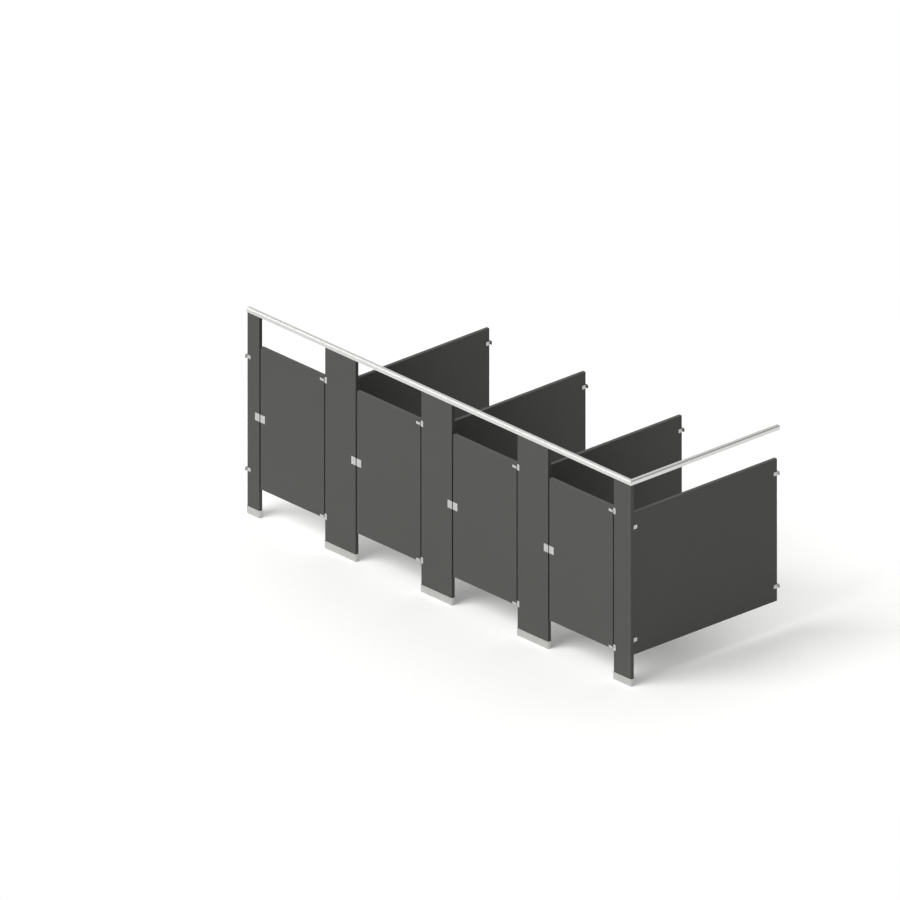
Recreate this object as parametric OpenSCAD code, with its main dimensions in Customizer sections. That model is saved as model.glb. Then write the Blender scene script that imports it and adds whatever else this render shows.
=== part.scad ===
// Overhead-braced run of four toilet cubicles that closes off the corner of a washroom.
// X runs along the front from the side wall, Y runs back to the rear wall and Z is up.
// Inside the modules X = 0 is the side wall, Y = 0 the pilasters' front face and Z = 0 the floor.
// in_frame() then moves the whole run so that its box stands centred on the origin.

/* [Run] */
// Clear opening between two pilasters
opening_w = 920; // [760:10:1000]
// Depth from the pilasters' front faces to the rear wall
run_depth = 1905; // [1300:5:2100]
// Thickness of the doors, panels and pilasters
board_t = 38; // [34:1:44]
// Radius of the upright arrises of every board
arris_r = 2; // [1:0.5:4]

/* [Doors and panels] */
// Height of the doors and panels
leaf_h = 1473; // [1380:1:1560]
// Height of their lower edge above the floor
leaf_z = 305; // [260:1:360]
// Gap between a door and the pilaster that carries its hinges
hinge_gap = 13; // [12:0.5:16]
// Gap between a door and the pilaster that carries its keeper
latch_gap = 17; // [14:0.5:20]
// Gap between a panel's end and the rear wall
panel_wall_gap = 15; // [8:1:25]
// Distance from the end pilaster's right edge to the end panel's outer face
end_inset = 22; // [22:1:60]

/* [Pilasters] */
// Width of the pilaster at the side wall
first_w = 168; // [150:1:260]
// Gap between that pilaster and the side wall
first_gap = 12; // [8:1:18]
// Width of the pilasters between two cubicles
inner_w = 428; // [240:1:500]
// Width of the pilaster at the open end
end_w = 240; // [200:1:320]
// Height of the pilasters' lower edge above the floor
pilaster_z = 25; // [20:1:35]

/* [Headrail] */
// Height of the headrail's underside above the floor
rail_z = 2082; // [2000:1:2200]
// Height of the headrail
rail_h = 44; // [42:1:52]
// Depth of the channel that grips the pilasters
rail_grip = 28; // [24:1:29]
// Size of the sloping outer edge that gives no hand hold
rail_chamfer = 10; // [4:0.5:12]
// Wall of the headrail
rail_wall = 1.7; // [1.4:0.1:2.2]
// Clearance between the pilasters and the headrail
rail_fit = 0.3; // [0.2:0.05:0.5]
// Clearance round the parts that slide into the headrail's box
plug_fit = 0.4; // [0.2:0.05:0.6]
// Length of each leg of the corner elbow
elbow_l = 95; // [80:1:130]
// Length of the plug on each wall socket
plug_l = 40; // [30:1:60]
// Distance between the two screw holes of a wall socket
plug_hole_gap = 16; // [14:1:16]
// Radius of those screw holes
plug_hole_r = 2.5; // [2:0.1:3]

/* [Shoes and feet] */
// Height of the shoes
shoe_h = 76; // [60:1:110]
// Distance that a shoe stands proud of its pilaster
shoe_proud = 6; // [4:0.5:8]
// Sheet thickness of the shoes
shoe_wall = 1.5; // [1:0.1:2]
// Radius of the shoes' upright corners
shoe_r = 10; // [6:0.5:12]
// Clearance between a shoe's turned-in lip and its pilaster
shoe_fit = 0.4; // [0.2:0.1:0.8]
// Length of the floor plates
plate_w = 120; // [110:1:140]
// Depth of the floor plates
plate_d = 32; // [28:1:34]
// Thickness of the floor plates
plate_t = 6; // [5:0.5:8]
// Distance between a floor plate's two anchor holes
anchor_gap = 90; // [84:1:96]
// Radius of the anchor holes
anchor_r = 5; // [4:0.5:6]
// Distance between the two levelling bolts of a pilaster
jack_gap = 36; // [34:1:40]
// Radius of a levelling bolt's shank
jack_r = 5; // [4:0.5:6]
// Radius of a levelling bolt's six-sided head over its corners
jack_head_r = 9.8; // [8:0.1:10.5]
// Height of that head
jack_head_h = 6.4; // [5:0.1:8]
// Depth of the bore in the pilaster for a levelling bolt
jack_bore = 40; // [30:1:60]

/* [Stirrup brackets] */
// Thickness of the brackets' flanges and ears, and of the sheet wrapped round an edge
sheet_t = 3; // [2.5:0.1:3.5]
// Length of the ears, with their flange
ear_l = 60; // [54:1:80]
// Height of a bracket
ear_h = 38; // [32:1:50]
// Width of a bracket's flange beside each ear
flange_w = 18; // [16:0.5:18.5]
// Distance from a leaf's top or bottom edge to the middle of its bracket
bracket_in = 152; // [100:1:220]
// Distance from the tip of an ear to its bolt
ear_bolt_in = 20; // [14:1:24]
// Radius of a bracket's screw holes
wall_hole_r = 3; // [2.6:0.1:3.4]
// Radius of the rounded tips of the ears
ear_tip_r = 5; // [2:0.5:8]

/* [Hinges] */
// Distance from the hinge axis to the door's edge
pivot_in = 20; // [19:0.5:22]
// Distance from the hinge axis to the door's inner face
pivot_back = 15; // [14:0.5:16]
// Distance from the door's top edge to the middle of the upper knuckle
top_knuckle = 43; // [35:1:120]
// Height of the wrapped bracket on the pilaster
wrap_h = 62; // [58:1:80]
// Distance that this bracket's middle stands above its knuckle
wrap_rise = 9; // [0:1:14]
// Length of this bracket's flanges on the pilaster's faces
wrap_flange = 28; // [24:1:36]
// Thickness of this bracket's web along the pilaster's edge
wrap_web = 5; // [4:0.5:6]
// Distance from this bracket's middle to each of its bolts
wrap_bolt_z = 20; // [16:1:24]
// Thickness of the arm that carries the knuckle
arm_t = 8; // [7:0.5:9]
// Width of the arm
arm_w = 16; // [14:0.5:16]
// Outer radius of the knuckle
knuckle_r = 10; // [9.5:0.1:10.5]
// Height of the clip on the door
clip_h = 26; // [25:0.5:28]
// Length of the clip on the door's outer face
clip_l = 56; // [52:1:64]
// Thickness of the clip's two ears
clip_ear_t = 5; // [4:0.5:5]
// Radius of the clip's ears round the axis
clip_ear_r = 11; // [10:0.5:12]
// Distance from the hinge axis to the clip's inner wall
clip_wall_x = 12; // [12:0.5:14]
// Distance from the clip's far end to its bolt
clip_bolt_in = 10; // [9:0.5:12]
// Clearance round the clip in the door's notch
clip_fit = 0.3; // [0.2:0.05:0.5]
// Radius of the hinge pin
pin_r = 4; // [3.5:0.1:4.2]
// Outer radius of the sleeve of a hinge bush
bush_r = 6; // [5.5:0.1:6.3]
// Radius of the flange of a hinge bush
bush_flange_r = 9; // [8:0.1:9.4]
// Radial clearance of the pin and of the bush
turn_fit = 0.05; // [0.02:0.01:0.1]
// Clearance between a bush's flange and the clip's ear
bush_end_fit = 0.15; // [0.1:0.05:0.3]

/* [Latches] */
// Height of the latch above the door's lower edge
latch_up = 735; // [600:1:850]
// Height of the latch plate and of the keeper
latch_h = 80; // [76:1:90]
// Length of the keeper on the pilaster's face
keeper_l = 57; // [50:1:70]
// Length of the latch plate on the door's outer face
latch_l = 64; // [60:1:72]
// Distance from the latch plate's far end to the bolts that hold it
latch_bolt_in = 12; // [10:0.5:14]
// Radius of the plates' corners
plate_r = 4; // [2:0.5:8]
// Length of the latch case
case_l = 70; // [68:1:80]
// Height of the latch case
case_h = 76; // [74:1:84]
// Depth of the latch case on the door's inner face
case_d = 18; // [17.5:0.5:22]
// Wall of the latch case
case_wall = 2.5; // [2:0.1:2.8]
// Height of the bolt
bolt_h = 16; // [14:0.5:18]
// Thickness of the bolt
bolt_d = 8; // [6:0.5:8]
// Length of the bolt
bolt_l = 62; // [60:1:64]
// Distance from the door's inner face to the bolt
bolt_y = 4.5; // [4.5:0.1:4.8]
// Travel of the bolt
bolt_travel = 30; // [26:1:31]
// Distance from the bolt's tail to the middle of its knob
knob_in = 12; // [10:0.5:14]
// Radius of the knob
knob_r = 11; // [9:0.5:13]
// Length of the knob
knob_l = 12; // [10:0.5:18]
// Radius of the knob's stem
stem_r = 4; // [3.5:0.1:4.5]
// Clearance round the bolt in its case
slide_fit = 0.3; // [0.2:0.05:0.5]
// Clearance round the bolt in the keeper's loop
loop_fit = 1; // [0.8:0.1:1.4]
// Width of the keeper's loop along the bolt
loop_w = 12; // [10:0.5:13]
// Distance from the pilaster's edge to the loop
loop_in = 4; // [3:0.5:5]
// Thickness of the loop's bridge
loop_t = 3; // [2.5:0.1:4]
// Thickness of the loop's two posts
loop_post = 5; // [4:0.5:5]
// Height of the middle of the stop tongue above or below the bolt
tongue_z = 28; // [25:0.5:30]
// Height of a stop tongue
tongue_h = 12; // [10:0.5:14]
// Thickness of a stop tongue
tongue_t = 3.2; // [3:0.1:4]
// Length of a rubber buffer between the keeper and a stop tongue
buffer_l = 4.5; // [3:0.1:5]
// Radius of a rubber buffer
buffer_r = 6; // [5:0.1:6.5]
// Clearance between a stop tongue and its buffer
stop_fit = 0.3; // [0.2:0.05:0.5]

/* [Coat hooks] */
// Distance from the door's top edge to the middle of the coat hook
hook_drop = 178; // [150:1:300]
// Width of the hook's back plate
hook_w = 44; // [38:1:50]
// Height of the hook's back plate
hook_h = 64; // [62:1:80]
// Length of the hook's post, with its rubber tip
hook_l = 70; // [64:1:80]
// Radius of the hook's curve
hook_bend = 16; // [12:0.5:18]
// Radius of the hook's rod
hook_rod_r = 4.5; // [3.5:0.1:5]
// Radius of the rubber tip
tip_r = 11; // [9:0.5:12]
// Length of the rubber tip
tip_l = 19; // [16:0.5:22]

/* [Fasteners] */
// Radius of the barrel of a through bolt
barrel_r = 4; // [3.5:0.1:4.4]
// Radius of a through bolt's heads
bolt_head_r = 6.5; // [6:0.1:7]
// Height of a through bolt's heads
bolt_head_t = 2.5; // [2:0.1:3]
// Clearance round the barrel of a through bolt
barrel_fit = 0.2; // [0.1:0.05:0.4]
// Radius of a screw's shank
screw_r = 2.1; // [1.8:0.1:2.3]
// Radius of a screw's head
screw_head_r = 4.6; // [4:0.1:5]
// Height of a screw's head
screw_head_t = 2.4; // [2:0.1:2.8]
// Length of the screws that go into a board
screw_l = 25; // [18:1:30]
// Length of the screws that go into the headrail's elbow and plugs
short_screw_l = 8; // [6:0.5:8]
// Clearance round a screw's shank
screw_fit = 0.1; // [0.05:0.05:0.2]
// Radius over the corners of the six-sided sockets in the heads
socket_r = 2.3; // [1.8:0.1:2.5]
// Depth of those sockets
socket_d = 1.6; // [1:0.1:1.8]

/* [Hidden] */
$fn = 48;

// Counts and colours
cubicles = 4;
doors = [1:cubicles];
pilasters = [1:cubicles + 1];
charcoal = [0.10, 0.10, 0.095];
plated = [0.80, 0.80, 0.79];
anodised = [0.74, 0.74, 0.73];
stainless = [0.66, 0.66, 0.64];
zinc = [0.55, 0.56, 0.57];
nylon = [0.88, 0.87, 0.83];
rubber = [0.06, 0.06, 0.06];
through = 200; // length of a cutter that has to pass right through

// Boards along the front, counted from the side wall
function pilaster_w(n) = n == 1 ? first_w : n == cubicles + 1 ? end_w : inner_w;
function pilaster_x(n) =
    n == 1 ? first_gap : first_gap + first_w + opening_w + (n - 2) * (inner_w + opening_w);
function pilaster_mid(n) = pilaster_x(n) + pilaster_w(n) / 2;
function keeper_x(n) = pilaster_x(n) + pilaster_w(n);
function hinge_x(n) = pilaster_x(n + 1) - hinge_gap - pivot_in;
function panel_mid(n) =
    n == cubicles ? run_right - end_inset - board_t / 2 : pilaster_mid(n + 1);
function door_mid(n) = keeper_x(n) + latch_gap + door_w / 2;
run_right = pilaster_x(cubicles + 1) + end_w;
door_w = opening_w - hinge_gap - latch_gap;
leaf_top = leaf_z + leaf_h;
bracket_zs = [leaf_z + bracket_in, leaf_top - bracket_in];
panel_y0 = board_t + sheet_t;
panel_y1 = run_depth - panel_wall_gap;

// Headrail section, measured inward from its outer face and up from its underside
rail_side = rail_fit + rail_wall;
rail_w = board_t + 2 * rail_side;
rail_box_z = rail_grip + rail_wall;
rail_box_mid = (rail_box_z + rail_h - rail_wall) / 2;
corner_x = run_right + rail_side;
corner_y = -rail_side;
mitre_gap = 0.3;
seat_gap = 0.3; // where one piece stands on another
pilaster_top = rail_z + rail_grip - seat_gap;

// Hinges, seen from their axis: X towards the pilaster, Y inward
pivot_y = board_t - pivot_back;
pivot_edge = pivot_in + hinge_gap;
knuckle_zs = [leaf_z + clip_h / 2, leaf_top - top_knuckle];
clip_x0 = pivot_in - clip_l;
clip_ear_z = clip_h / 2 - clip_ear_t;
bush_flange_t = clip_ear_z - arm_t / 2 - bush_end_fit;

// Latches, seen from the edge of the pilaster that carries the keeper
latch_z = leaf_z + latch_up;
case_x = latch_gap + 0.5;
case_y1 = board_t + case_d;
bolt_x = latch_gap - 1;
bolt_y0 = board_t + bolt_y;
bolt_y1 = bolt_y0 + bolt_d;
knob_x = bolt_x + bolt_l - knob_in;
knob_y0 = case_y1 + 1;
spigot_r = stem_r - 1;
spigot_l = bolt_d - 3;
case_bolt_x = latch_gap + latch_l - latch_bolt_in;
case_bolt_z = bolt_h / 2 + 17;
keeper_bolt_x = -keeper_l + 17;
keeper_bolt_z = 26;
buffer_stem_r = buffer_r / 2;
buffer_x = -loop_in - loop_w / 2;
buffer_y0 = board_t + sheet_t;
tongue_y0 = buffer_y0 + buffer_l + stop_fit;

// Coat hooks, seen from the middle of the back plate
hook_z = leaf_top - hook_drop;
hook_post_z = 20;
hook_rod_z = -18;
hook_screw_z = 25;
hook_screw_x = 14;
hook_post_r = 6;
hook_post_l = hook_l - tip_l;
hook_neck_r = hook_post_r - 1;
hook_neck_l = tip_l / 2;

// Half the run's box, so that in_frame() can centre it
box_right = run_right + max(shoe_proud, rail_side);
box_front = -max(sheet_t + flange_w, shoe_proud);
centre_x = box_right / 2;
centre_y = (run_depth + box_front) / 2;

// Shared shapes

module in_frame() {
    translate([-centre_x, -centre_y, 0]) children();
}

// Rectangle with its low corner at the origin and rounded corners
module round_rect(w, h, r) {
    translate([r, 0]) square([w - 2 * r, h]);
    translate([0, r]) square([w, h - 2 * r]);
    for (x = [r, w - r], y = [r, h - r]) translate([x, y]) circle(r);
}

// Extrudes a flat shape drawn in X and Z from y0 to y1
module plate_y(y0, y1) {
    translate([0, y1, 0]) rotate([90, 0, 0]) linear_extrude(y1 - y0) children();
}

// Turns a shape that points up so that it points inward
module along_y() {
    rotate([-90, 0, 0]) children();
}

// Six-sided socket sunk into a head whose face is at Z = 0, with the shank above it
module drive_socket() {
    translate([0, 0, -1]) cylinder(r = socket_r, h = socket_d + 1, $fn = 6);
}

// Through bolt with a low head at each end, its grip starting at the origin
module through_bolt(grip) {
    bevel = bolt_head_t / 2;
    along_y() difference() {
        rotate_extrude() polygon([
            [0, -bolt_head_t], [bolt_head_r - bevel, -bolt_head_t], [bolt_head_r, -bolt_head_t + bevel],
            [bolt_head_r, 0], [barrel_r, 0], [barrel_r, grip], [bolt_head_r, grip],
            [bolt_head_r, grip + bolt_head_t - bevel], [bolt_head_r - bevel, grip + bolt_head_t],
            [0, grip + bolt_head_t],
        ]);
        translate([0, 0, -bolt_head_t]) drive_socket();
        translate([0, 0, grip + bolt_head_t]) mirror([0, 0, 1]) drive_socket();
    }
}

module bolt_hole() {
    along_y() cylinder(r = barrel_r + barrel_fit, h = 2 * through, center = true);
}

// Screw that points along +Y, with the underside of its head at the origin
module screw(l) {
    bevel = screw_head_t / 2;
    along_y() difference() {
        rotate_extrude() polygon([
            [0, -screw_head_t], [screw_head_r - bevel, -screw_head_t], [screw_head_r, -screw_head_t + bevel],
            [screw_head_r, 0], [screw_r, 0], [screw_r, l - 2 * screw_r], [0, l],
        ]);
        translate([0, 0, -screw_head_t]) drive_socket();
    }
}

module screw_hole(l) {
    along_y() cylinder(r = screw_r + screw_fit, h = l + 1);
}

// Boards

module front_board(x, z, w, h) {
    translate([x, 0, z]) linear_extrude(h) round_rect(w, board_t, arris_r);
}

// Places of the fasteners in the front, each at the boards' front face
module wrap_bolt_places(n) {
    for (z = knuckle_zs, s = [-1, 1])
        translate([pilaster_x(n + 1) + wrap_flange / 2, 0, z + wrap_rise + s * wrap_bolt_z]) children();
}

module keeper_bolt_places(n) {
    for (s = [-1, 1])
        translate([keeper_x(n) + keeper_bolt_x, 0, latch_z + s * keeper_bolt_z]) children();
}

module clip_bolt_places(n) {
    for (z = knuckle_zs) translate([hinge_x(n) + clip_x0 + clip_bolt_in, 0, z]) children();
}

module latch_bolt_places(n) {
    for (s = [-1, 1])
        translate([keeper_x(n) + case_bolt_x, 0, latch_z + s * case_bolt_z]) children();
}

module hook_screw_places() {
    for (s = [-1, 1]) translate([s * hook_screw_x, 0, -s * hook_screw_z]) children();
}

module rail_screw_places(n) {
    for (s = [-1, 1])
        translate([pilaster_mid(n) + s * pilaster_w(n) / 4, board_t + rail_side, rail_z + rail_grip / 2])
            rotate([0, 0, 180]) children();
}

module jack_places(n) {
    for (s = [-1, 1]) translate([pilaster_mid(n) + s * jack_gap / 2, board_t / 2, 0]) children();
}

module pilaster(n) {
    in_frame() color(charcoal) difference() {
        front_board(pilaster_x(n), pilaster_z, pilaster_w(n), pilaster_top - pilaster_z);
        jack_places(n) translate([0, 0, pilaster_z - 1])
            cylinder(r = jack_r + turn_fit, h = jack_bore + 1);
        rail_screw_places(n) screw_hole(screw_l);
        if (n == 1) first_bracket_places() ear_bolt_hole();
        if (n > 1) {
            wrap_bolt_places(n - 1) bolt_hole();
            pilaster_bracket_places(n - 1) flange_screw_places() screw_hole(screw_l);
        }
        if (n <= cubicles) keeper_bolt_places(n) bolt_hole();
    }
}

module panel(n) {
    in_frame() color(charcoal) difference() {
        translate([panel_mid(n) - board_t / 2, panel_y0, leaf_z])
            linear_extrude(leaf_h) round_rect(board_t, panel_y1 - panel_y0, arris_r);
        pilaster_bracket_places(n) ear_bolt_hole();
        wall_bracket_places(n) ear_bolt_hole();
    }
}

module door(n) {
    notch_w = pivot_in + clip_wall_x + sheet_t + clip_fit;
    in_frame() color(charcoal) difference() {
        front_board(keeper_x(n) + latch_gap, leaf_z, door_w, leaf_h);
        for (z = knuckle_zs)
            translate([hinge_x(n) + pivot_in - notch_w, -1, z - clip_h / 2 - clip_fit])
                cube([notch_w + 1, board_t + 2, clip_h + 2 * clip_fit]);
        clip_bolt_places(n) bolt_hole();
        latch_bolt_places(n) bolt_hole();
        at_hook(n) hook_screw_places() rotate([0, 0, 180]) screw_hole(screw_l);
    }
}

// Shoes and feet

module shoe(n) {
    w = pilaster_w(n) + 2 * shoe_proud;
    d = board_t + 2 * shoe_proud;
    lip = shoe_proud - shoe_fit;
    translate([pilaster_x(n) - shoe_proud, -shoe_proud, 0]) difference() {
        linear_extrude(shoe_h) round_rect(w, d, shoe_r);
        translate([shoe_wall, shoe_wall, -1]) linear_extrude(shoe_h - shoe_wall + 1)
            round_rect(w - 2 * shoe_wall, d - 2 * shoe_wall, shoe_r - shoe_wall);
        translate([lip, lip, -1]) linear_extrude(shoe_h + 2)
            round_rect(w - 2 * lip, d - 2 * lip, arris_r);
    }
}

module shoes() {
    in_frame() color(stainless) for (n = pilasters) shoe(n);
}

module floor_plates() {
    in_frame() color(zinc) for (n = pilasters)
        translate([pilaster_mid(n) - plate_w / 2, (board_t - plate_d) / 2, 0])
            linear_extrude(plate_t) difference() {
                round_rect(plate_w, plate_d, plate_r);
                for (s = [-1, 1])
                    translate([plate_w / 2 + s * anchor_gap / 2, plate_d / 2]) circle(anchor_r);
            }
}

module levelling_bolts() {
    in_frame() color(zinc) for (n = pilasters) jack_places(n) {
        translate([0, 0, plate_t]) cylinder(r = jack_head_r, h = jack_head_h, $fn = 6);
        translate([0, 0, plate_t]) cylinder(r = jack_r, h = pilaster_z + jack_bore - seat_gap - plate_t);
    }
}

// Headrail

// Inside of the headrail's box, set in from the rail's outer outline by d and standing on z0
module rail_box_outline(d, z0) {
    slope = d * (sqrt(2) - 1);
    polygon([
        [d, z0], [d, rail_h - rail_chamfer - slope], [rail_chamfer + slope, rail_h - d],
        [rail_w - d, rail_h - d], [rail_w - d, z0],
    ]);
}

module rail_outline() {
    difference() {
        rail_box_outline(0, 0);
        translate([rail_wall, -1]) square([rail_w - 2 * rail_wall, rail_grip + 1]);
        rail_box_outline(rail_wall, rail_box_z);
    }
}

// Extrudes a section along the front from x0 to x1, its outer face to the front
module along_front(x0, x1) {
    translate([x0, corner_y, rail_z]) rotate([90, 0, 90]) linear_extrude(x1 - x0) children();
}

// Extrudes a section along the open side from y0 to y1, its outer face to the right
module along_side(y0, y1) {
    translate([corner_x, y0, rail_z]) rotate([90, 0, 180]) linear_extrude(y1 - y0) children();
}

// Block on the far side of the mitre plane, or on its near side, set back by gap
module mitre_cut(side, gap) {
    translate([corner_x, corner_y, rail_z - 1]) rotate([0, 0, 45])
        translate([side > 0 ? -gap : gap - through, -through / 2, 0])
            cube([through, through, rail_h + 2]);
}

// Screws in the inner face of the headrail's box: near the side wall, at each
// leg of the elbow and near the rear wall
module box_screw_places(front) {
    z = rail_z + rail_box_mid;
    if (front) for (x = [sheet_t + plug_l / 2, corner_x - elbow_l + 20])
        translate([x, corner_y + rail_w, z]) rotate([0, 0, 180]) children();
    else for (y = [corner_y + elbow_l - 20, run_depth - sheet_t - plug_l / 2])
        translate([corner_x - rail_w, y, z]) rotate([0, 0, -90]) children();
}

module headrail_front() {
    in_frame() color(anodised) difference() {
        along_front(sheet_t, corner_x) rail_outline();
        mitre_cut(1, mitre_gap / 2);
        for (n = pilasters) rail_screw_places(n) screw_hole(screw_l);
        box_screw_places(true) screw_hole(short_screw_l);
    }
}

module headrail_side() {
    in_frame() color(anodised) difference() {
        along_side(corner_y, run_depth - sheet_t) rail_outline();
        mitre_cut(-1, mitre_gap / 2);
        box_screw_places(false) screw_hole(short_screw_l);
    }
}

module headrail_elbow() {
    d = rail_wall + plug_fit;
    z = rail_box_z + plug_fit;
    in_frame() color(zinc) difference() {
        union() {
            difference() {
                along_front(corner_x - elbow_l, corner_x) rail_box_outline(d, z);
                mitre_cut(1, 0);
            }
            difference() {
                along_side(corner_y, corner_y + elbow_l) rail_box_outline(d, z);
                mitre_cut(-1, 0);
            }
        }
        box_screw_places(true) screw_hole(short_screw_l);
        box_screw_places(false) screw_hole(short_screw_l);
    }
}

// Section of a wall socket's two screw holes
module socket_holes() {
    for (s = [-1, 1])
        translate([rail_w / 2 + s * plug_hole_gap / 2, rail_box_mid]) circle(plug_hole_r);
}

module socket_plate() {
    difference() {
        rail_box_outline(rail_wall / 2, rail_wall / 2);
        socket_holes();
    }
}

module socket_plug() {
    difference() {
        rail_box_outline(rail_wall + plug_fit, rail_box_z + plug_fit);
        socket_holes();
    }
}

module headrail_sockets() {
    in_frame() color(plated) difference() {
        union() {
            along_front(0, sheet_t) socket_plate();
            along_front(0, sheet_t + plug_l) socket_plug();
            along_side(run_depth - sheet_t, run_depth) socket_plate();
            along_side(run_depth - sheet_t - plug_l, run_depth) socket_plug();
        }
        box_screw_places(true) screw_hole(short_screw_l);
        box_screw_places(false) screw_hole(short_screw_l);
    }
}

// Stirrup brackets. Each stands on the plane X = 0 with its ears along +X,
// and holds a board whose thickness lies centred on Y = 0.

module first_bracket_places() {
    for (z = bracket_zs) translate([0, board_t / 2, z]) children();
}

module wall_bracket_places(n) {
    for (z = bracket_zs) translate([panel_mid(n), run_depth, z]) rotate([0, 0, -90]) children();
}

module pilaster_bracket_places(n) {
    for (z = bracket_zs) translate([panel_mid(n), board_t, z]) rotate([0, 0, 90]) children();
}

// Places of a flange's two screws, with the screws pointing into what the flange stands on
module flange_screw_places() {
    for (s = [-1, 1])
        translate([sheet_t, s * (board_t / 2 + sheet_t + flange_w / 2), 0])
            rotate([0, 0, 90]) children();
}

module ear_bolt_place() {
    translate([ear_l - ear_bolt_in, -board_t / 2 - sheet_t, 0]) children();
}

module ear_bolt_hole() {
    ear_bolt_place() bolt_hole();
}

module stirrup() {
    half = board_t / 2 + sheet_t + flange_w;
    difference() {
        union() {
            translate([0, -half, -ear_h / 2]) cube([sheet_t, 2 * half, ear_h]);
            for (y = [-board_t / 2 - sheet_t, board_t / 2]) plate_y(y, y + sheet_t) {
                translate([0, -ear_h / 2]) square([ear_l - ear_tip_r, ear_h]);
                translate([0, -ear_h / 2]) round_rect(ear_l, ear_h, ear_tip_r);
            }
        }
        flange_screw_places() along_y() cylinder(r = wall_hole_r, h = 2 * through, center = true);
        ear_bolt_hole();
    }
}

// Places of all the stirrup brackets: on the side wall, on the rear wall and on the pilasters
module stirrup_places() {
    first_bracket_places() children();
    for (n = doors) {
        wall_bracket_places(n) children();
        pilaster_bracket_places(n) children();
    }
}

module stirrup_brackets() {
    in_frame() color(plated) stirrup_places() stirrup();
}

// Hinges. A bracket wraps the pilaster's edge and holds a knuckle inside the door's
// thickness. A clip on the door takes it between two ears and is open to the inside,
// so that the door can turn inward past a right angle.

module at_knuckles(n) {
    for (z = knuckle_zs) translate([hinge_x(n), pivot_y, z]) children();
}

// Sheet wrapped round the edge of a board that starts at X = 0, drawn in plan
module wrap_outline(web, flange, r) {
    difference() {
        translate([-web, -sheet_t]) {
            round_rect(web + flange, board_t + 2 * sheet_t, r);
            translate([web, 0]) square([flange, board_t + 2 * sheet_t]);
        }
        square([flange + 1, board_t]);
    }
}

module hinge_bracket() {
    difference() {
        union() {
            intersection() {
                translate([pivot_edge, -pivot_y, wrap_rise - wrap_h / 2])
                    linear_extrude(wrap_h) wrap_outline(wrap_web, wrap_flange, sheet_t);
                plate_y(-through, through)
                    translate([pivot_edge - wrap_web - plate_r, wrap_rise - wrap_h / 2])
                        round_rect(plate_r + wrap_web + wrap_flange, wrap_h, plate_r);
            }
            translate([0, -arm_w / 2, -arm_t / 2]) cube([pivot_edge - wrap_web / 2, arm_w, arm_t]);
            cylinder(r = knuckle_r, h = arm_t, center = true);
        }
        cylinder(r = bush_r + turn_fit, h = arm_t + 2, center = true);
    }
}

module hinge_brackets() {
    in_frame() color(plated) difference() {
        for (n = doors) at_knuckles(n) hinge_bracket();
        for (n = doors) wrap_bolt_places(n) bolt_hole();
    }
}

module hinge_pins() {
    in_frame() color(zinc) for (n = doors) at_knuckles(n) cylinder(r = pin_r, h = clip_h, center = true);
}

// One of the two flanged bushes of a knuckle, above the arm's middle
module hinge_bush() {
    rotate_extrude() polygon([
        [pin_r + turn_fit, turn_fit], [bush_r, turn_fit], [bush_r, arm_t / 2],
        [bush_flange_r, arm_t / 2], [bush_flange_r, arm_t / 2 + bush_flange_t],
        [pin_r + turn_fit, arm_t / 2 + bush_flange_t],
    ]);
}

module hinge_bushes() {
    in_frame() color(nylon) for (n = doors) at_knuckles(n) {
        hinge_bush();
        mirror([0, 0, 1]) hinge_bush();
    }
}

// Ear of the clip in plan: a boss round the axis, carried by the clip's front and inner wall
module clip_ear_outline() {
    circle(clip_ear_r);
    translate([-clip_wall_x, -pivot_y]) square([clip_wall_x + clip_ear_r, pivot_y]);
    translate([-clip_wall_x, 0]) square([clip_wall_x, clip_ear_r]);
}

module hinge_clip() {
    wall_x = -clip_wall_x - sheet_t;
    difference() {
        union() {
            plate_y(-pivot_y - sheet_t, -pivot_y) translate([clip_x0, -clip_h / 2]) {
                round_rect(clip_l, clip_h, plate_r);
                translate([clip_l / 2, 0]) square([clip_l / 2, clip_h]);
            }
            translate([wall_x, -pivot_y, -clip_h / 2])
                cube([sheet_t, board_t + sheet_t, clip_h]);
            plate_y(pivot_back, pivot_back + sheet_t) translate([clip_x0, -clip_h / 2]) {
                round_rect(wall_x + sheet_t - clip_x0, clip_h, plate_r);
                translate([plate_r, 0]) square([wall_x + sheet_t - clip_x0 - plate_r, clip_h]);
            }
            for (z = [clip_ear_z, -clip_h / 2])
                translate([0, 0, z]) linear_extrude(clip_ear_t) clip_ear_outline();
        }
        cylinder(r = pin_r + turn_fit, h = clip_h + 2, center = true);
    }
}

module hinge_clips(n) {
    in_frame() color(plated) difference() {
        at_knuckles(n) hinge_clip();
        clip_bolt_places(n) bolt_hole();
    }
}

// Latches

module at_latch(n) {
    translate([keeper_x(n), 0, latch_z]) children();
}

module buffer_places() {
    for (s = [-1, 1]) translate([buffer_x, buffer_y0, s * tongue_z]) along_y() children();
}

// Keeper wrapped round the pilaster's edge, with the loop that takes the bolt behind it
module keeper() {
    loop_y1 = bolt_y1 + loop_fit;
    post_z = bolt_h / 2 + loop_fit;
    difference() {
        union() {
            intersection() {
                translate([0, 0, -latch_h / 2]) linear_extrude(latch_h)
                    mirror([1, 0, 0]) wrap_outline(sheet_t, keeper_l, sheet_t / 2);
                plate_y(-through, through) translate([-keeper_l, -latch_h / 2])
                    round_rect(keeper_l + sheet_t + plate_r, latch_h, plate_r);
            }
            translate([-loop_in - loop_w, buffer_y0, -post_z - loop_post])
                cube([loop_w, loop_y1 + loop_t - buffer_y0, 2 * (post_z + loop_post)]);
        }
        translate([-loop_in - loop_w - 1, buffer_y0, -post_z])
            cube([loop_w + 2, loop_y1 - buffer_y0, 2 * post_z]);
        buffer_places() cylinder(r = buffer_stem_r + turn_fit, h = 2 * (sheet_t + 1), center = true);
    }
}

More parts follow.
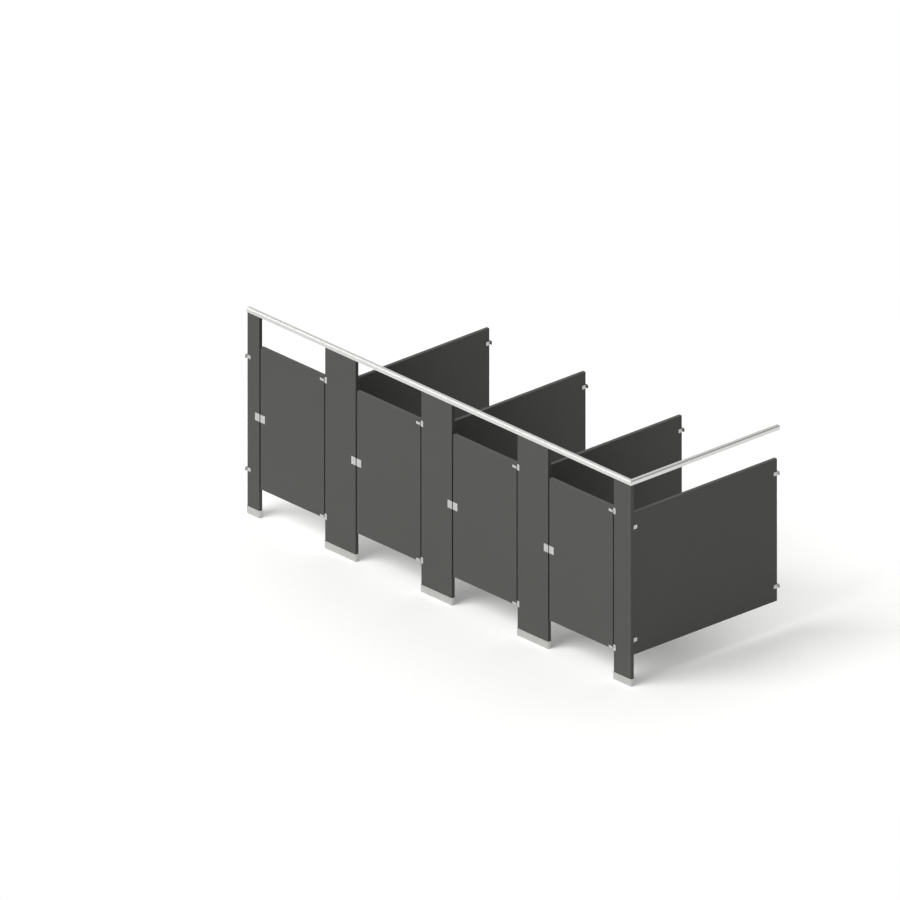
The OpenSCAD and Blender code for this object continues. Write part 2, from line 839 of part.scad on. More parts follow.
module keepers() {
    in_frame() color(plated) difference() {
        for (n = doors) at_latch(n) keeper();
        for (n = doors) keeper_bolt_places(n) bolt_hole();
    }
}

module keeper_buffers() {
    in_frame() color(rubber) for (n = doors) at_latch(n) buffer_places() rotate_extrude() polygon([
        [0, -sheet_t], [buffer_stem_r, -sheet_t], [buffer_stem_r, 0], [buffer_r, 0],
        [buffer_r, buffer_l - 1], [buffer_r - 1, buffer_l], [0, buffer_l],
    ]);
}

module latch_plate(n) {
    in_frame() color(plated) difference() {
        at_latch(n) plate_y(-sheet_t, 0) translate([latch_gap, -latch_h / 2])
            round_rect(latch_l, latch_h, plate_r);
        latch_bolt_places(n) bolt_hole();
    }
}

// Case on the door's inner face: a shell with a channel for the bolt, a slot for
// its knob, and two stop tongues that reach across the gap to the keeper's buffers
module latch_case(n) {
    rib = bolt_h / 2 + slide_fit;
    pocket_z = rib + case_wall;
    pocket_h = case_h / 2 - case_wall - pocket_z;
    slot_x0 = knob_x - bolt_travel - stem_r - 0.5;
    in_frame() color(plated) difference() {
        at_latch(n) difference() {
            union() {
                plate_y(board_t, case_y1) translate([case_x, -case_h / 2]) round_rect(case_l, case_h, plate_r);
                for (s = [-1, 1])
                    plate_y(tongue_y0, tongue_y0 + tongue_t)
                        translate([-loop_in - loop_w, s * tongue_z - tongue_h / 2])
                            square([case_x + case_wall + loop_in + loop_w, tongue_h]);
            }
            for (s = [-1, 1]) difference() {
                plate_y(board_t - 1, case_y1 - case_wall)
                    translate([case_x + case_wall, s > 0 ? pocket_z : -pocket_z - pocket_h])
                        square([case_l - 2 * case_wall, pocket_h]);
                translate([case_bolt_x, 0, s * case_bolt_z]) along_y() cylinder(r = bolt_head_r, h = through);
            }
            translate([case_x - 1, bolt_y0 - slide_fit, -rib])
                cube([case_l - case_wall + 1, bolt_d + 2 * slide_fit, 2 * rib]);
            plate_y(bolt_y1, case_y1 + 1) translate([slot_x0, -stem_r - 0.5])
                round_rect(bolt_travel + 2 * stem_r + 1, 2 * stem_r + 1, stem_r);
        }
        latch_bolt_places(n) bolt_hole();
    }
}

module latch_bolt(n) {
    lead = bolt_d / 3;
    in_frame() color(plated) at_latch(n) difference() {
        translate([bolt_x, 0, -bolt_h / 2]) linear_extrude(bolt_h) polygon([
            [0, bolt_y0 + lead], [lead, bolt_y0], [bolt_l, bolt_y0], [bolt_l, bolt_y1],
            [lead, bolt_y1], [0, bolt_y1 - lead],
        ]);
        translate([knob_x, bolt_y1 - spigot_l, 0]) along_y()
            cylinder(r = spigot_r + turn_fit, h = spigot_l + 1);
    }
}

module latch_knob(n) {
    stem_l = knob_y0 - bolt_y1;
    in_frame() color(plated) at_latch(n) translate([knob_x, bolt_y1, 0]) along_y()
        rotate_extrude() polygon([
            [0, -spigot_l], [spigot_r, -spigot_l], [spigot_r, 0], [stem_r, 0], [stem_r, stem_l],
            [knob_r - 2, stem_l], [knob_r, stem_l + 2], [knob_r, stem_l + knob_l - 2],
            [knob_r - 2, stem_l + knob_l], [0, stem_l + knob_l],
        ]);
}

// Coat hooks, each with a buffer that meets the panel before the door does

module at_hook(n) {
    translate([door_mid(n), board_t, hook_z]) children();
}

module coat_hook(n) {
    arc_y = hook_bend + 2;
    in_frame() color(plated) at_hook(n) difference() {
        union() {
            plate_y(0, sheet_t) translate([-hook_w / 2, -hook_h / 2]) round_rect(hook_w, hook_h, 2 * plate_r);
            translate([0, 0, hook_post_z]) along_y() {
                cylinder(r = hook_post_r, h = hook_post_l);
                cylinder(r = hook_neck_r, h = hook_post_l + hook_neck_l);
            }
            translate([0, 0, hook_rod_z]) along_y() cylinder(r = hook_rod_r, h = arc_y);
            translate([0, arc_y, hook_rod_z + hook_bend]) {
                rotate([0, 90, 0]) rotate_extrude(angle = 90) translate([hook_bend, 0]) circle(hook_rod_r);
                translate([0, hook_bend, 0]) cylinder(r = hook_rod_r, h = hook_rod_r);
                translate([0, hook_bend, hook_rod_r]) sphere(hook_rod_r + 1);
            }
        }
        hook_screw_places() along_y() cylinder(r = screw_r + 2 * screw_fit, h = through, center = true);
    }
}

// Rubber cap pushed over the post's neck
module hook_tip(n) {
    bore_r = hook_neck_r + turn_fit;
    bore_l = hook_neck_l + turn_fit;
    in_frame() color(rubber) at_hook(n) translate([0, hook_post_l, hook_post_z]) along_y()
        rotate_extrude() polygon([
            [bore_r, 0], [tip_r - 2, 0], [tip_r, 2], [tip_r, tip_l - 3], [tip_r - 3, tip_l],
            [0, tip_l], [0, bore_l], [bore_r, bore_l],
        ]);
}

// Fasteners: those that stay put, and those that ride on each door

module frame_bolts() {
    grip = board_t + 2 * sheet_t;
    in_frame() color(plated) {
        stirrup_places() ear_bolt_place() through_bolt(grip);
        for (n = doors) translate([0, -sheet_t, 0]) {
            wrap_bolt_places(n) through_bolt(grip);
            keeper_bolt_places(n) through_bolt(grip);
        }
    }
}

module frame_screws() {
    in_frame() color(plated) {
        for (n = doors) pilaster_bracket_places(n) flange_screw_places() screw(screw_l);
        for (n = pilasters) rail_screw_places(n) screw(screw_l);
        box_screw_places(true) screw(short_screw_l);
        box_screw_places(false) screw(short_screw_l);
    }
}

module door_bolts(n) {
    in_frame() color(plated) {
        translate([0, -sheet_t, 0]) {
            clip_bolt_places(n) through_bolt(board_t + 2 * sheet_t);
            latch_bolt_places(n) through_bolt(case_y1 + sheet_t);
        }
        at_hook(n) translate([0, sheet_t, 0]) hook_screw_places()
            rotate([0, 0, 180]) screw(screw_l);
    }
}

pilaster(1);  // pilaster_1
pilaster(2);  // pilaster_2
pilaster(3);  // pilaster_3
pilaster(4);  // pilaster_4
pilaster(5);  // pilaster_5
panel(1);  // divider_panel_1
panel(2);  // divider_panel_2
panel(3);  // divider_panel_3
panel(4);  // end_panel
shoes();
floor_plates();
levelling_bolts();
headrail_front();
headrail_side();
headrail_elbow();
headrail_sockets();
stirrup_brackets();
hinge_brackets();
hinge_pins();
hinge_bushes();
keepers();
keeper_buffers();
frame_bolts();
frame_screws();
door(1);  // door_1
door(2);  // door_2
door(3);  // door_3
door(4);  // door_4
hinge_clips(1);  // hinge_clips_1
hinge_clips(2);  // hinge_clips_2
hinge_clips(3);  // hinge_clips_3
hinge_clips(4);  // hinge_clips_4
latch_plate(1);  // latch_plate_1
latch_plate(2);  // latch_plate_2
latch_plate(3);  // latch_plate_3
latch_plate(4);  // latch_plate_4
latch_case(1);  // latch_case_1
latch_case(2);  // latch_case_2
latch_case(3);  // latch_case_3
latch_case(4);  // latch_case_4
latch_bolt(1);  // latch_bolt_1
latch_bolt(2);  // latch_bolt_2
latch_bolt(3);  // latch_bolt_3
latch_bolt(4);  // latch_bolt_4
latch_knob(1);  // latch_knob_1
latch_knob(2);  // latch_knob_2
latch_knob(3);  // latch_knob_3
latch_knob(4);  // latch_knob_4
coat_hook(1);  // coat_hook_1
coat_hook(2);  // coat_hook_2
coat_hook(3);  // coat_hook_3
coat_hook(4);  // coat_hook_4
hook_tip(1);  // hook_tip_1
hook_tip(2);  // hook_tip_2
hook_tip(3);  // hook_tip_3
hook_tip(4);  // hook_tip_4
door_bolts(1);  // door_bolts_1
door_bolts(2);  // door_bolts_2
door_bolts(3);  // door_bolts_3
door_bolts(4);  // door_bolts_4
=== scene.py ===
import math

import bpy
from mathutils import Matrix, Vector


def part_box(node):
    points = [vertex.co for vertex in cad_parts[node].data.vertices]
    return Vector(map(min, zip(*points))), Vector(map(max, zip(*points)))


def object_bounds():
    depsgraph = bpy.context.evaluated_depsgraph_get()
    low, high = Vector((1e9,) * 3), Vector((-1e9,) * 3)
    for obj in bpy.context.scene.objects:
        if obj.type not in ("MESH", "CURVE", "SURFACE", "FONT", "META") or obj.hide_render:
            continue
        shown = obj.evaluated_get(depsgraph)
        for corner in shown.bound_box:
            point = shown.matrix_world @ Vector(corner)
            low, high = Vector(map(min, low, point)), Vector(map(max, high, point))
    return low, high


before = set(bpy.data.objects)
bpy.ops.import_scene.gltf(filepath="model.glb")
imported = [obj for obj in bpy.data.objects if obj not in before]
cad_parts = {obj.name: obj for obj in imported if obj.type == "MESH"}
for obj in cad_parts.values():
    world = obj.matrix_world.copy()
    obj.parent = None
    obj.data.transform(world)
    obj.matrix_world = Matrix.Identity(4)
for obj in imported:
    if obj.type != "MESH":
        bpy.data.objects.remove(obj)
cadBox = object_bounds()
print("frame loaded:", len(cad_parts), "nodes")


# Small helpers for building node trees

nodeGrid = {"rows": 4, "across": 260, "down": 340}   # how the node editor shows the nodes
mixSockets = {"mask": 0, "below": 6, "above": 7, "result": 2}   # of a Mix node for colours
whole = (0.0, 1.0)


def addNode(tree, kind, values=None, **settings):
    column, row = divmod(len(tree.nodes), nodeGrid["rows"])
    node = tree.nodes.new(kind)
    node.location = (column * nodeGrid["across"], -row * nodeGrid["down"])
    for name, value in settings.items():
        setattr(node, name, value)
    for name, value in (values or {}).items():
        node.inputs[name].default_value = value
    return node


def feed(tree, source, socket):
    # a number, point or colour is set on the socket, and an output is linked to it
    if isinstance(source, (int, float, tuple)):
        socket.default_value = source
    else:
        tree.links.new(source, socket)


def addOperation(tree, kind, operation, *sources):
    node = addNode(tree, kind, operation=operation)
    for source, socket in zip(sources, node.inputs):
        feed(tree, source, socket)
    return node.outputs


def addMath(tree, operation, *sources):
    return addOperation(tree, "ShaderNodeMath", operation, *sources)["Value"]


def addVectorMath(tree, operation, *sources):
    return addOperation(tree, "ShaderNodeVectorMath", operation, *sources)


def addRange(tree, source, limits, span=whole):
    # runs smoothly over the span while the source goes from one limit to the other
    node = addNode(tree, "ShaderNodeMapRange", interpolation_type="SMOOTHSTEP",
                   values={"To Min": span[0], "To Max": span[1]})
    tree.links.new(source, node.inputs["Value"])
    for name, limit in zip(("From Min", "From Max"), limits):
        feed(tree, limit, node.inputs[name])
    return node.outputs["Result"]


def addBlend(tree, mask, below, above):
    node = addNode(tree, "ShaderNodeMix", data_type="RGBA")
    for name, source in (("mask", mask), ("below", below), ("above", above)):
        feed(tree, source, node.inputs[mixSockets[name]])
    return node.outputs[mixSockets["result"]]


def addLayer(tree, mask, share, below, above):
    return addBlend(tree, addMath(tree, "MULTIPLY", mask, share), below, above)


def addPlace(tree):
    return addNode(tree, "ShaderNodeTexCoord").outputs["Object"]


def addNoise(tree, place, scale, values):
    node = addNode(tree, "ShaderNodeTexNoise", values=values)
    tree.links.new(place, node.inputs["Vector"])
    feed(tree, scale, node.inputs["Scale"])
    return node.outputs["Fac"]


def addBump(tree, shader, height, values, normal=None):
    bump = addNode(tree, "ShaderNodeBump", values=values)
    tree.links.new(height, bump.inputs["Height"])
    if normal:
        tree.links.new(normal, bump.inputs["Normal"])
    tree.links.new(bump.outputs["Normal"], shader.inputs["Normal"])


def newGroup(name, inputs, outputs):
    tree = bpy.data.node_groups.new(name, "ShaderNodeTree")
    for label, kind, value in inputs:
        socket = tree.interface.new_socket(name=label, in_out="INPUT", socket_type=kind)
        socket.default_value = value
    for label, kind in outputs:
        tree.interface.new_socket(name=label, in_out="OUTPUT", socket_type=kind)
    given = addNode(tree, "NodeGroupInput").outputs
    result = addNode(tree, "NodeGroupOutput").inputs
    return tree, given, result


def useGroup(tree, group, values):
    return addNode(tree, "ShaderNodeGroup", values=values, node_tree=group).outputs


# Effects shared by several finishes. Each group works in the object's own metres.

arris = {
    "samples": 4,
    "turned": (0.998, 0.85),     # cosine between the surface and its rounded normal
    "noise": {"Detail": 5.0, "Roughness": 0.65},
    "patchRange": (0.4, 0.68),
}


def makeEdgeWearAndHighlight():
    # finds the arrises by rounding the normal, and breaks them up into patches, which the
    # finishes paint paler as edge wear and as a painted edge highlight
    tree, given, result = newGroup(
        "edgeWearAndHighlight",
        [("Radius", "NodeSocketFloat", 0.0015), ("Patches", "NodeSocketFloat", 30.0)],
        [("Mask", "NodeSocketFloat"), ("Normal", "NodeSocketVector")])
    bevel = addNode(tree, "ShaderNodeBevel", samples=arris["samples"])
    tree.links.new(given["Radius"], bevel.inputs["Radius"])
    rounded = bevel.outputs["Normal"]
    surface = addNode(tree, "ShaderNodeNewGeometry").outputs["Normal"]
    turn = addVectorMath(tree, "DOT_PRODUCT", rounded, surface)["Value"]
    onEdge = addRange(tree, turn, arris["turned"])
    noise = addNoise(tree, addPlace(tree), given["Patches"], arris["noise"])
    patches = addRange(tree, noise, arris["patchRange"])
    tree.links.new(addMath(tree, "MULTIPLY", onEdge, patches), result["Mask"])
    tree.links.new(rounded, result["Normal"])
    return tree


grain = {
    "lineNoise": {"Detail": 2.0, "Roughness": 0.5},
    "lineRange": (0.25, 0.75),
    "cloudNoise": {"Detail": 6.0, "Roughness": 0.6},
    "cloudRange": (0.35, 0.7),
}


def makeGrain():
    # long fine lines from brushing or drawing, and slow clouds over them
    tree, given, result = newGroup(
        "brushedGrain",
        [("Stretch", "NodeSocketVector", (1.0, 60.0, 60.0)),
         ("Fineness", "NodeSocketFloat", 40.0), ("Clouds", "NodeSocketFloat", 9.0)],
        [("Lines", "NodeSocketFloat"), ("Clouds", "NodeSocketFloat")])
    place = addPlace(tree)
    stretched = addVectorMath(tree, "MULTIPLY", place, given["Stretch"])["Vector"]
    lines = addNoise(tree, stretched, given["Fineness"], grain["lineNoise"])
    clouds = addNoise(tree, place, given["Clouds"], grain["cloudNoise"])
    tree.links.new(addRange(tree, lines, grain["lineRange"]), result["Lines"])
    tree.links.new(addRange(tree, clouds, grain["cloudRange"]), result["Clouds"])
    return tree


dust = {
    "noise": {"Detail": 8.0, "Roughness": 0.7},
    "spotRange": (0.45, 0.8),
}


def makeDust():
    # dried splashes and dust that thin out above the floor
    tree, given, result = newGroup(
        "floorDust",
        [("Reach", "NodeSocketFloat", 0.5), ("Spots", "NodeSocketFloat", 60.0)],
        [("Mask", "NodeSocketFloat")])
    place = addPlace(tree)
    axes = addNode(tree, "ShaderNodeSeparateXYZ")
    tree.links.new(place, axes.inputs["Vector"])
    low = addRange(tree, axes.outputs["Z"], (given["Reach"], 0.0))
    noise = addNoise(tree, place, given["Spots"], dust["noise"])
    spots = addRange(tree, noise, dust["spotRange"])
    tree.links.new(addMath(tree, "MULTIPLY", low, spots), result["Mask"])
    return tree


handling = {
    "scale": 38.0,
    "noise": {"Detail": 4.0, "Roughness": 0.6, "Distortion": 0.8},
    "smearRange": (0.42, 0.66),
}


def makeHandling():
    # the cloudy area that hands leave round a handle
    tree, given, result = newGroup(
        "handMarks",
        [("Centre", "NodeSocketVector", (0.0, 0.0, 0.0)), ("Reach", "NodeSocketFloat", 0.2)],
        [("Mask", "NodeSocketFloat")])
    place = addPlace(tree)
    away = addVectorMath(tree, "DISTANCE", place, given["Centre"])["Value"]
    near = addRange(tree, away, (given["Reach"], 0.0))
    noise = addNoise(tree, place, handling["scale"], handling["noise"])
    smears = addRange(tree, noise, handling["smearRange"])
    tree.links.new(addMath(tree, "MULTIPLY", near, smears), result["Mask"])
    return tree


sheetLine = {
    "depth": 0.0012,             # thickness of the face sheet, metres
    "fade": (0.0006, 0.0002),    # metres from the line's middle, where it starts and is full
}


def makeSelfEdge():
    # the dark line of the face sheet's thickness along a board's edges
    tree, given, result = newGroup(
        "selfEdge",
        [("Across", "NodeSocketVector", (0.0, 1.0, 0.0)), ("Middle", "NodeSocketFloat", 0.0),
         ("Half", "NodeSocketFloat", 0.019), ("Sheet", "NodeSocketFloat", sheetLine["depth"])],
        [("Mask", "NodeSocketFloat")])
    along = addVectorMath(tree, "DOT_PRODUCT", addPlace(tree), given["Across"])["Value"]
    fromMiddle = addMath(tree, "ABSOLUTE", addMath(tree, "SUBTRACT", along, given["Middle"]))
    depth = addMath(tree, "SUBTRACT", given["Half"], fromMiddle)
    fromLine = addMath(tree, "ABSOLUTE", addMath(tree, "SUBTRACT", depth, given["Sheet"]))
    tree.links.new(addRange(tree, fromLine, sheetLine["fade"]), result["Mask"])
    return tree


edgeWearAndHighlight = makeEdgeWearAndHighlight()
brushedGrain = makeGrain()
floorDust = makeDust()
handMarks = makeHandling()
selfEdge = makeSelfEdge()
print("shared effects built")


# Finishes

def newFinish(name, shaderValues):
    material = bpy.data.materials.new(name)
    material.use_nodes = True
    tree = material.node_tree
    tree.nodes.clear()
    shader = addNode(tree, "ShaderNodeBsdfPrincipled", values=shaderValues)
    output = addNode(tree, "ShaderNodeOutputMaterial")
    tree.links.new(shader.outputs["BSDF"], output.inputs["Surface"])
    return material, tree, shader


laminate = {
    "shader": {"IOR": 1.5, "Specular IOR Level": 0.35},
    "colour": (0.031, 0.031, 0.0285, 1.0),
    "paler": (0.047, 0.047, 0.043, 1.0),
    # paler colour of the arrises: partly edge wear, partly a painted edge highlight
    "wornAndHighlight": (0.10, 0.10, 0.097, 1.0),
    "seam": (0.006, 0.006, 0.006, 1.0),
    "dusty": (0.11, 0.108, 0.10, 1.0),
    "specks": 950.0,             # per metre, the fine flecks of the surface
    "speckNoise": {"Detail": 3.0, "Roughness": 0.6},
    "speckRange": (0.38, 0.66),
    "speckShare": 0.8,           # how far the flecks turn the colour paler
    "clouds": 3.5,
    "cloudNoise": {"Detail": 6.0, "Roughness": 0.55},
    "cloudRange": (0.32, 0.7),
    "cloudShare": 0.12,
    "roughness": (0.41, 0.47),
    "roughRange": (0.3, 0.7),    # of the clouds, over which the roughness changes
    "pressing": {"Strength": 0.5, "Distance": 0.0003},   # the pressed texture, in metres
    "boardHalf": 0.019,
    "wearAndHighlight": {"Radius": 0.002, "Patches": 22.0},
    "wearAndHighlightShare": 0.7,
    "dust": {"Reach": 0.75, "Spots": 45.0},
    "dustShare": 0.22,
    "dustRougher": 0.18,
    "handReach": 0.22,
    "handRougher": -0.12,        # hands polish the surface
}


def makeLaminate(name, across, middle, handCentre=None):
    material, tree, shader = newFinish(name, laminate["shader"])
    place = addPlace(tree)
    specks = addNoise(tree, place, laminate["specks"], laminate["speckNoise"])
    clouds = addNoise(tree, place, laminate["clouds"], laminate["cloudNoise"])
    speck = addRange(tree, specks, laminate["speckRange"])
    cloud = addRange(tree, clouds, laminate["cloudRange"])
    mottle = addMath(tree, "MULTIPLY", speck, laminate["speckShare"])
    mottle = addMath(tree, "MULTIPLY_ADD", cloud, laminate["cloudShare"], mottle)
    colour = addBlend(tree, mottle, laminate["colour"], laminate["paler"])
    seam = useGroup(tree, selfEdge,
                    {"Across": across, "Middle": middle, "Half": laminate["boardHalf"]})
    colour = addBlend(tree, seam["Mask"], colour, laminate["seam"])
    # the arrises are painted paler in patches: edge wear, and a painted edge highlight where the
    # rounded edges catch the light
    wearAndHighlight = useGroup(tree, edgeWearAndHighlight, laminate["wearAndHighlight"])
    colour = addLayer(tree, wearAndHighlight["Mask"], laminate["wearAndHighlightShare"], colour, laminate["wornAndHighlight"])
    dusty = useGroup(tree, floorDust, laminate["dust"])
    colour = addLayer(tree, dusty["Mask"], laminate["dustShare"], colour, laminate["dusty"])
    tree.links.new(colour, shader.inputs["Base Color"])
    rough = addRange(tree, clouds, laminate["roughRange"], laminate["roughness"])
    rough = addMath(tree, "MULTIPLY_ADD", dusty["Mask"], laminate["dustRougher"], rough)
    if handCentre:
        hands = useGroup(tree, handMarks, {"Centre": handCentre, "Reach": laminate["handReach"]})
        rough = addMath(tree, "MULTIPLY_ADD", hands["Mask"], laminate["handRougher"], rough)
    tree.links.new(rough, shader.inputs["Roughness"])
    addBump(tree, shader, specks, laminate["pressing"], wearAndHighlight["Normal"])
    return material


anodised = {
    "colour": (0.70, 0.70, 0.685, 1.0), "dull": (0.57, 0.57, 0.56, 1.0),
    "bright": (0.90, 0.90, 0.89, 1.0), "roughness": (0.18, 0.30),
    "fineness": 30.0, "edge": 0.0006,
}
metals = {
    "satinChrome": {
        "colour": (0.58, 0.58, 0.57, 1.0), "dull": (0.40, 0.40, 0.39, 1.0),
        "bright": (0.80, 0.80, 0.79, 1.0), "roughness": (0.29, 0.35),
        "stretch": (1.0, 45.0, 45.0), "fineness": 40.0, "edge": 0.0007},
    "anodisedFront": {**anodised, "stretch": (0.4, 60.0, 60.0)},
    "anodisedSide": {**anodised, "stretch": (60.0, 0.4, 60.0)},
    "stainless": {
        "colour": (0.53, 0.53, 0.515, 1.0), "dull": (0.40, 0.40, 0.385, 1.0),
        "bright": (0.72, 0.72, 0.70, 1.0), "roughness": (0.30, 0.40),
        "stretch": (0.8, 0.8, 45.0), "fineness": 36.0, "edge": 0.0008},
    "zincPlate": {
        "colour": (0.48, 0.50, 0.53, 1.0), "dull": (0.34, 0.35, 0.36, 1.0),
        "bright": (0.66, 0.67, 0.68, 1.0), "roughness": (0.38, 0.56),
        "stretch": (6.0, 6.0, 6.0), "fineness": 30.0, "edge": 0.0008},
}
metalSurface = {
    "shader": {"Metallic": 1.0},
    "lineShare": 0.35,           # how far the lines and the clouds dull the colour
    "cloudShare": 0.2,
    "wearAndHighlightPatches": 45.0,
    "wearAndHighlightShare": 0.6,
    "dust": {"Reach": 0.12, "Spots": 110.0},
    "dustShare": 0.35,
    "dustRougher": 0.2,
    "scratches": {"Strength": 0.05, "Distance": 0.00003},
}


def makeMetal(name):
    look = metals[name]
    material, tree, shader = newFinish(name, metalSurface["shader"])
    brushed = useGroup(tree, brushedGrain,
                       {"Stretch": look["stretch"], "Fineness": look["fineness"]})
    wearAndHighlight = useGroup(tree, edgeWearAndHighlight,
                    {"Radius": look["edge"], "Patches": metalSurface["wearAndHighlightPatches"]})
    dusty = useGroup(tree, floorDust, metalSurface["dust"])
    shade = addMath(tree, "MULTIPLY", brushed["Clouds"], metalSurface["cloudShare"])
    shade = addMath(tree, "MULTIPLY_ADD", brushed["Lines"], metalSurface["lineShare"], shade)
    colour = addBlend(tree, shade, look["colour"], look["dull"])
    # the arrises are painted brighter in patches: edge wear, and a painted edge highlight
    colour = addLayer(tree, wearAndHighlight["Mask"], metalSurface["wearAndHighlightShare"], colour, look["bright"])
    colour = addLayer(tree, dusty["Mask"], metalSurface["dustShare"], colour, look["dull"])
    tree.links.new(colour, shader.inputs["Base Color"])
    rough = addRange(tree, brushed["Lines"], whole, look["roughness"])
    rough = addMath(tree, "MULTIPLY_ADD", dusty["Mask"], metalSurface["dustRougher"], rough)
    tree.links.new(rough, shader.inputs["Roughness"])
    addBump(tree, shader, brushed["Lines"], metalSurface["scratches"], wearAndHighlight["Normal"])
    return material


plastics = {
    "nylon": {
        "colour": (0.78, 0.76, 0.70, 1.0), "other": (0.66, 0.63, 0.56, 1.0),
        "roughness": (0.40, 0.55), "grain": 900.0, "depth": 0.00005},
    "rubber": {
        "colour": (0.014, 0.014, 0.014, 1.0), "other": (0.040, 0.039, 0.038, 1.0),
        "roughness": (0.62, 0.82), "grain": 1200.0, "depth": 0.00012},
}
plasticSurface = {
    "shader": {"IOR": 1.5},
    "grainNoise": {"Detail": 3.0},
    "grainStrength": 0.4,
    "roughRange": (0.3, 0.7),
    "clouds": 60.0,
    "cloudNoise": {"Detail": 5.0},
    "cloudRange": (0.35, 0.7),
}


def makePlastic(name):
    look = plastics[name]
    material, tree, shader = newFinish(name, plasticSurface["shader"])
    place = addPlace(tree)
    fine = addNoise(tree, place, look["grain"], plasticSurface["grainNoise"])
    clouds = addNoise(tree, place, plasticSurface["clouds"], plasticSurface["cloudNoise"])
    mask = addRange(tree, clouds, plasticSurface["cloudRange"])
    colour = addBlend(tree, mask, look["colour"], look["other"])
    tree.links.new(colour, shader.inputs["Base Color"])
    rough = addRange(tree, fine, plasticSurface["roughRange"], look["roughness"])
    tree.links.new(rough, shader.inputs["Roughness"])
    addBump(tree, shader, fine,
            {"Strength": plasticSurface["grainStrength"], "Distance": look["depth"]})
    return material


def dress(node, material):
    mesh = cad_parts[node].data
    mesh.materials.clear()
    mesh.materials.append(material)


def middleOf(node):
    low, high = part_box(node)
    return (low + high) / 2


acrossFront = (0.0, 1.0, 0.0)
acrossSide = (1.0, 0.0, 0.0)
pilasters = range(1, 6)
cubicles = range(1, 5)

frontMiddle = middleOf("pilaster_1").y
pilasterLaminate = makeLaminate("pilasterLaminate", acrossFront, frontMiddle)
for number in pilasters:
    dress(f"pilaster_{number}", pilasterLaminate)
for number in cubicles:
    latch = middleOf(f"latch_plate_{number}")
    centre = (latch.x, frontMiddle, latch.z)
    dress(f"door_{number}",
          makeLaminate(f"doorLaminate{number}", acrossFront, frontMiddle, centre))
for node in ("divider_panel_1", "divider_panel_2", "divider_panel_3", "end_panel"):
    dress(node, makeLaminate(node + "Laminate", acrossSide, middleOf(node).x))

satinChrome = makeMetal("satinChrome")
zincPlate = makeMetal("zincPlate")
dress("headrail_front", makeMetal("anodisedFront"))
dress("headrail_side", makeMetal("anodisedSide"))
dress("shoes", makeMetal("stainless"))
for node in ("floor_plates", "levelling_bolts", "headrail_elbow", "hinge_pins"):
    dress(node, zincPlate)
for node in ("headrail_sockets", "stirrup_brackets", "hinge_brackets", "keepers",
             "frame_bolts", "frame_screws"):
    dress(node, satinChrome)
for kind in ("hinge_clips", "latch_plate", "latch_case", "latch_bolt", "latch_knob",
             "coat_hook", "door_bolts"):
    for number in cubicles:
        dress(f"{kind}_{number}", satinChrome)
dress("hinge_bushes", makePlastic("nylon"))
rubber = makePlastic("rubber")
dress("keeper_buffers", rubber)
for number in cubicles:
    dress(f"hook_tip_{number}", rubber)
print("finishes applied")


# Floor, light and camera

stage = {
    "floorSize": 60.0,
    "floorDrop": 0.0005,         # metres under the lowest corner, so that no faces coincide
    "floorColour": (0.84, 0.84, 0.83, 1.0),
    "floorRoughness": 0.75,
    "floorGloss": 0.2,
    "floorLift": (0.12, 1.0),    # share of plain white seen in the floor, near and far off
    "floorFade": (3.2, 8.5),     # metres from the middle, where that share starts and ends
    "brightSide": (-0.35, -0.65, -0.67),   # low down, in front and to the left
    "brightRange": (-0.9, -0.2),
    "skyBright": (1.0, 1.0, 0.99, 1.0),
    "skyDim": (0.44, 0.44, 0.44, 1.0),
    "ambientStrength": 0.7,
    "white": (1.0, 1.0, 1.0, 1.0),
}


def makeFloor():
    half = stage["floorSize"] / 2
    level = cadBox[0][2] - stage["floorDrop"]
    corners = [(x * half, y * half, level) for x, y in ((-1, -1), (1, -1), (1, 1), (-1, 1))]
    mesh = bpy.data.meshes.new("floor")
    mesh.from_pydata(corners, [], [(0, 1, 2, 3)])
    floor = bpy.data.objects.new("floor", mesh)
    bpy.context.scene.collection.objects.link(floor)
    material, tree, shader = newFinish("floor", {
        "Base Color": stage["floorColour"], "Roughness": stage["floorRoughness"],
        "Specular IOR Level": stage["floorGloss"]})
    rays = addNode(tree, "ShaderNodeLightPath").outputs
    seen = addMath(tree, "MAXIMUM", rays["Is Camera Ray"], rays["Is Glossy Ray"])
    seen = addMath(tree, "MAXIMUM", seen, rays["Is Transmission Ray"])
    away = addVectorMath(tree, "LENGTH", addPlace(tree))["Value"]
    lift = addRange(tree, away, stage["floorFade"], stage["floorLift"])
    white = addNode(tree, "ShaderNodeEmission", values={"Strength": 1.0})
    mix = addNode(tree, "ShaderNodeMixShader")
    output = next(node for node in tree.nodes if node.type == "OUTPUT_MATERIAL")
    tree.links.new(addMath(tree, "MULTIPLY", seen, lift), mix.inputs[0])
    tree.links.new(shader.outputs["BSDF"], mix.inputs[1])
    tree.links.new(white.outputs["Emission"], mix.inputs[2])
    tree.links.new(mix.outputs["Shader"], output.inputs["Surface"])
    mesh.materials.append(material)


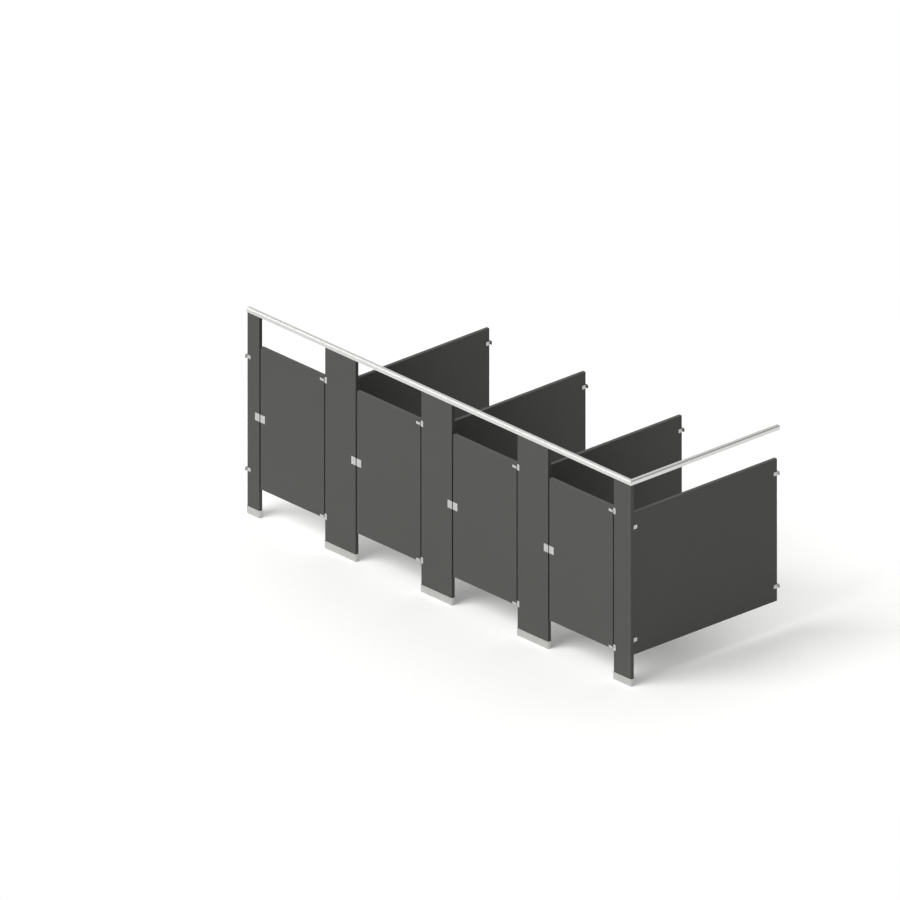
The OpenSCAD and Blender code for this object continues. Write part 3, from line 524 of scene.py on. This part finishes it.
def makeSurroundings():
    world = bpy.data.worlds.new("surroundings")
    bpy.context.scene.world = world
    world.use_nodes = True
    tree = world.node_tree
    tree.nodes.clear()
    rays = addNode(tree, "ShaderNodeLightPath").outputs
    mirrored = addMath(tree, "MAXIMUM", rays["Is Glossy Ray"], rays["Is Transmission Ray"])
    strength = addRange(tree, mirrored, whole, (stage["ambientStrength"], 1.0))
    direction = addNode(tree, "ShaderNodeTexCoord").outputs["Generated"]
    side = addVectorMath(tree, "DOT_PRODUCT", direction, stage["brightSide"])["Value"]
    glow = addRange(tree, side, stage["brightRange"])
    colour = addBlend(tree, glow, stage["skyDim"], stage["skyBright"])
    studio = addNode(tree, "ShaderNodeBackground")
    tree.links.new(colour, studio.inputs["Color"])
    tree.links.new(strength, studio.inputs["Strength"])
    white = addNode(tree, "ShaderNodeBackground",
                    values={"Color": stage["white"], "Strength": 1.0})
    mix = addNode(tree, "ShaderNodeMixShader")
    output = addNode(tree, "ShaderNodeOutputWorld")
    tree.links.new(rays["Is Camera Ray"], mix.inputs[0])
    tree.links.new(studio.outputs["Background"], mix.inputs[1])
    tree.links.new(white.outputs["Background"], mix.inputs[2])
    tree.links.new(mix.outputs["Shader"], output.inputs["Surface"])


# width is the lamp's angle in degrees, wide so that the shadows have soft edges
lights = {
    "key": {"from": (-0.22, -0.72, 0.65), "width": 46.0, "strength": 3.15, "mirrored": True},
    "fill": {"from": (-0.50, 0.75, 0.42), "width": 80.0, "strength": 1.3, "mirrored": False},
}


def addLight(name):
    look = lights[name]
    data = bpy.data.lights.new(name, "SUN")
    data.angle = math.radians(look["width"])
    data.energy = look["strength"]
    light = bpy.data.objects.new(name, data)
    light.rotation_euler = (-Vector(look["from"])).to_track_quat("-Z", "Y").to_euler()
    light.visible_glossy = look["mirrored"]
    bpy.context.scene.collection.objects.link(light)


viewpoint = {
    "azimuth": 47.6,             # degrees round from the front
    "elevation": 24.45,
    "width": 8.5,                # metres across the picture
    "aim": (-0.889, 0.0114, 0.960),
    "distance": 20.0,
    "farthest": 100.0,           # metres, beyond which nothing is drawn
}


def addCamera():
    turn = math.radians(viewpoint["azimuth"])
    rise = math.radians(viewpoint["elevation"])
    away = Vector((math.cos(rise) * math.sin(turn), -math.cos(rise) * math.cos(turn),
                   math.sin(rise)))
    data = bpy.data.cameras.new("camera")
    data.type = "ORTHO"
    data.ortho_scale = viewpoint["width"]
    data.clip_end = viewpoint["farthest"]
    camera = bpy.data.objects.new("camera", data)
    camera.location = Vector(viewpoint["aim"]) + away * viewpoint["distance"]
    camera.rotation_euler = (-away).to_track_quat("-Z", "Y").to_euler()
    bpy.context.scene.collection.objects.link(camera)
    bpy.context.scene.camera = camera


makeFloor()
makeSurroundings()
for name in lights:
    addLight(name)
addCamera()
bpy.context.scene.view_settings.view_transform = "Standard"
print("floor, light and camera placed")
